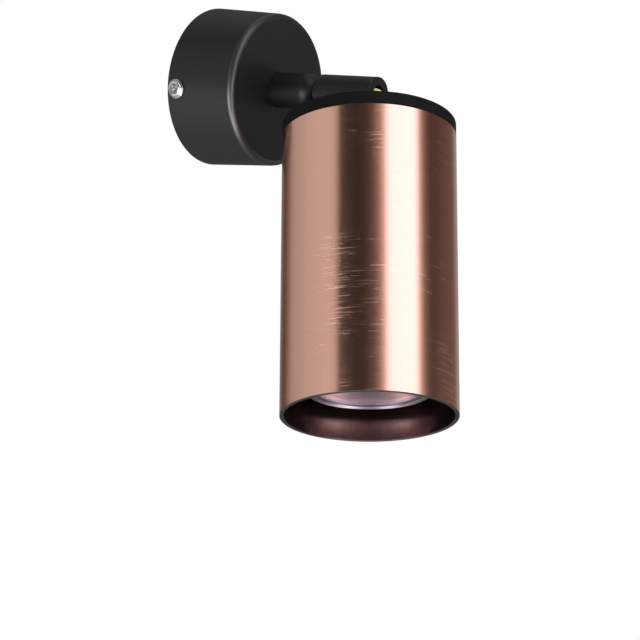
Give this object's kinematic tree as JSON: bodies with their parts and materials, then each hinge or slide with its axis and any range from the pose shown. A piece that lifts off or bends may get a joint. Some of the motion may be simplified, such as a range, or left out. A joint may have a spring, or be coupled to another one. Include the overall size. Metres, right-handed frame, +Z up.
{
  "type": "wall sconce",
  "caption": "Wall sconce with a round canopy, a short swivelling arm and a tilting open-ended cylinder head that holds a recessed reflector lamp.",
  "frame": {"origin": "centre of the canopy's back on the wall plane", "axes": "+Z up, -Y straight out from the wall, +X to the right as one faces the wall"},
  "size_m": [0.1135, 0.1492, 0.1701],
  "materials": {
    "black_coat": "matte",
    "copper_finish": "brushed, copper coloured",
    "zinc_steel": "zinc plated",
    "screw_chrome": "bright nickel",
    "black_steel": "blackened",
    "brass": "turned",
    "block_plastic": "moulded",
    "nylon": "natural nylon",
    "holder_ceramic": "glazed steatite",
    "lamp_ceramic": "unglazed",
    "reflector": "dichroic coated glass",
    "lamp_rim": "satin",
    "lamp_glass": "clear",
    "capsule_glass": "clear quartz",
    "wire_brown": "extruded",
    "wire_cream": "extruded",
    "wire_green_yellow": "extruded, striped"
  },
  "bodies": {
    "base": {"canopy": "black_coat", "mounting_bracket": "zinc_steel", "canopy_screws": "screw_chrome", "terminal_block": "block_plastic", "terminal_tubes": "brass", "terminal_screws": "zinc_steel", "block_screw": "zinc_steel", "earth_screw": "brass", "earth_washer": "zinc_steel", "hub_collar": "black_coat", "hollow_nipple": "brass", "nipple_nut": "brass", "nipple_washer": "zinc_steel", "retaining_bolt": "brass", "friction_washer": "nylon", "wave_washer": "zinc_steel", "stop_pin": "zinc_steel", "base_live_wire": "wire_brown", "base_neutral_wire": "wire_cream", "base_earth_wire": "wire_green_yellow"},
    "arm": {"arm_tube": "black_coat", "pivot_screw": "black_steel", "tilt_washers": "nylon", "arm_live_wire": "wire_brown", "arm_neutral_wire": "wire_cream", "arm_earth_wire": "wire_green_yellow"},
    "head": {"tilt_lug": "black_coat", "lug_washer": "zinc_steel", "lug_nut": "brass", "top_cap": "black_coat", "head_tube": "copper_finish", "holder_bracket": "zinc_steel", "lamp_holder": "holder_ceramic", "holder_screws": "zinc_steel", "holder_contacts": "brass", "bracket_earth_screw": "brass", "lamp_base": "lamp_ceramic", "lamp_pins": "zinc_steel", "lamp_reflector": "reflector", "lamp_ring": "lamp_rim", "lamp_glass": "lamp_glass", "lamp_capsule": "capsule_glass", "head_live_wire": "wire_brown", "head_neutral_wire": "wire_cream", "head_earth_wire": "wire_green_yellow"}
  },
  "joints": [
    {"name": "arm_swivel", "type": "hinge", "parent": "base", "child": "arm", "pos_m": [0, 0, 0], "axis": [0, 1, 0], "range_deg": [-185.8, 144.2]},
    {"name": "head_tilt", "type": "hinge", "parent": "arm", "child": "head", "pos_m": [-0.00092, -0.0794, -0.00243], "axis": [-0.9348, 0, 0.3551], "range_deg": [-24.8, 74.2]}
  ]
}
